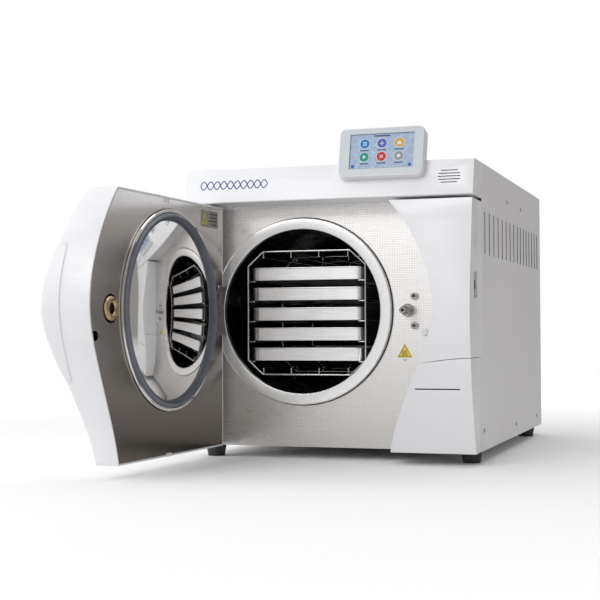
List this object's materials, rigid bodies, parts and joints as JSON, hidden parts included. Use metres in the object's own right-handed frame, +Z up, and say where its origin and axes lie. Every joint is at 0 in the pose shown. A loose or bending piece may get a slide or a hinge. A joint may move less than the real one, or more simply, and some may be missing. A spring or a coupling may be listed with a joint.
{
  "type": "benchtop autoclave",
  "caption": "Benchtop steam steriliser with an open swing door, round chamber, wire rack of trays, stainless front and tilted touch display.",
  "frame": {"origin": "on the bench, under the cabinet's centre line, in the plane of the side panels' front edges", "axes": "+X to the right across the front, +Y from front to back, +Z up"},
  "size_m": [0.4915, 0.9927, 0.4913],
  "materials": {
    "white_shell": "satin white moulded plastic",
    "grey_panel": "powder coat with fine texture",
    "linen_steel": "linen-embossed stainless sheet",
    "brushed_steel": "turned or brushed stainless",
    "door_steel": "satin stainless sheet",
    "ring_steel": "fine machined ring",
    "mirror_steel": "mirror polish",
    "rack_wire": "bright electropolished wire",
    "tray_metal": "satin anodised",
    "gasket": "blue-grey silicone",
    "brass": "machined brass",
    "copper_pipe": "drawn copper tube",
    "black_rubber": "moulded rubber",
    "black_plastic": "fine spark-eroded texture",
    "dark_metal": "dark enamel",
    "aluminium_fin": "mill finish",
    "insulation": "glass wool sleeve",
    "tank_plastic": "translucent blow moulding",
    "circuit_board": "solder mask",
    "screen": "touch glass",
    "lcd": "lit display",
    "printer_plastic": "dark moulding",
    "paper": "thermal paper",
    "label_yellow": "printed film",
    "label_silver": "printed film"
  },
  "bodies": {
    "cabinet": {"air_filter": "black_plastic", "base_chassis": "grey_panel", "chamber_flange": "ring_steel", "chamber_insulation": "insulation", "chamber_vessel": "brushed_steel", "clean_water_tank": "tank_plastic", "column_fascia": "white_shell", "condenser": "aluminium_fin", "display_housing": "white_shell", "drain_ports": "brass", "fan_housing": "black_plastic", "front_plate": "linen_steel", "header_fascia": "white_shell", "heater_band": "aluminium_fin", "hinge_bracket": "brushed_steel", "hinge_pin": "brushed_steel", "lcd_module": "lcd", "left_side_panel": "grey_panel", "lid_hinge": "white_shell", "lock_gearmotor": "dark_metal", "lock_screws": "brushed_steel", "main_circuit_board": "circuit_board", "mains_inlet": "black_plastic", "panel_screws": "brushed_steel", "power_supply": "brushed_steel", "printer_unit": "printer_plastic", "rear_panel": "grey_panel", "right_side_panel": "grey_panel", "rubber_feet": "black_rubber", "safety_valve": "brass", "spindle_bush": "brushed_steel", "steam_generator": "brushed_steel", "steam_pipes": "copper_pipe", "switch_body": "black_plastic", "top_cover": "grey_panel", "touch_glass": "screen", "used_water_tank": "tank_plastic", "vacuum_pump": "dark_metal", "valve_block": "brass", "warning_label": "label_yellow"},
    "door": {"door_shell": "white_shell", "door_inner_panel": "door_steel", "door_arm": "brushed_steel", "pressure_plate": "mirror_steel", "door_gasket": "gasket", "lock_nut": "brass", "door_label": "label_silver"},
    "printer_cover": {"printer_cover": "white_shell"},
    "paper_roll": {"paper_roll": "paper"},
    "filler_lid": {"filler_lid": "white_shell"},
    "fan_rotor": {"fan_rotor": "black_plastic"},
    "mains_rocker": {"mains_rocker": "black_plastic"},
    "lock_spindle": {"lock_spindle": "brushed_steel"},
    "door_switch_pin": {"door_switch_pin": "white_shell"},
    "rack": {"rack_frames": "rack_wire", "rack_rails": "rack_wire"},
    "tray_1": {"tray_1": "tray_metal"},
    "tray_2": {"tray_2": "tray_metal"},
    "tray_3": {"tray_3": "tray_metal"},
    "tray_4": {"tray_4": "tray_metal"},
    "tray_5": {"tray_5": "tray_metal"}
  },
  "joints": [
    {"name": "door_hinge", "type": "hinge", "parent": "cabinet", "child": "door", "pos_m": [-0.2025, -0.0463, 0.224], "axis": [0, 0, -1], "range_deg": [-92.57, 15]},
    {"name": "rack_slide", "type": "slide", "parent": "cabinet", "child": "rack", "axis": [0, -1, 0], "range_m": [0, 0.3]},
    {"name": "lock_spindle_turn", "type": "hinge", "parent": "cabinet", "child": "lock_spindle", "pos_m": [0.113, 0, 0.224], "axis": [0, 1, 0], "continuous": true},
    {"name": "door_switch_press", "type": "slide", "parent": "cabinet", "child": "door_switch_pin", "axis": [0, 1, 0], "range_m": [0, 0.004], "stiffness_N_per_m": 300, "springref_m": -0.002},
    {"name": "printer_cover_hinge", "type": "hinge", "parent": "cabinet", "child": "printer_cover", "pos_m": [0.2215, -0.0185, 0.088], "axis": [0, 0, 1], "range_deg": [0, 95]},
    {"name": "paper_roll_turn", "type": "hinge", "parent": "cabinet", "child": "paper_roll", "pos_m": [0.186, -0.03, 0.117], "axis": [1, 0, 0], "continuous": true},
    {"name": "fan_spin", "type": "hinge", "parent": "cabinet", "child": "fan_rotor", "pos_m": [0.15, 0.541, 0.248], "axis": [0, 1, 0], "continuous": true},
    {"name": "filler_lid_hinge", "type": "hinge", "parent": "cabinet", "child": "filler_lid", "pos_m": [-0.15, 0.502, 0.444], "axis": [-1, 0, 0], "range_deg": [0, 100]},
    {"name": "mains_rocker_tilt", "type": "hinge", "parent": "cabinet", "child": "mains_rocker", "pos_m": [0.109, 0.55, 0.079], "axis": [-1, 0, 0], "range_deg": [0, 12]},
    {"name": "tray_1_slide", "type": "slide", "parent": "rack", "child": "tray_1", "axis": [0, -1, 0], "range_m": [0, 0.27]},
    {"name": "tray_2_slide", "type": "slide", "parent": "rack", "child": "tray_2", "axis": [0, -1, 0], "range_m": [0, 0.27]},
    {"name": "tray_3_slide", "type": "slide", "parent": "rack", "child": "tray_3", "axis": [0, -1, 0], "range_m": [0, 0.27]},
    {"name": "tray_4_slide", "type": "slide", "parent": "rack", "child": "tray_4", "axis": [0, -1, 0], "range_m": [0, 0.27]},
    {"name": "tray_5_slide", "type": "slide", "parent": "rack", "child": "tray_5", "axis": [0, -1, 0], "range_m": [0, 0.27]}
  ]
}
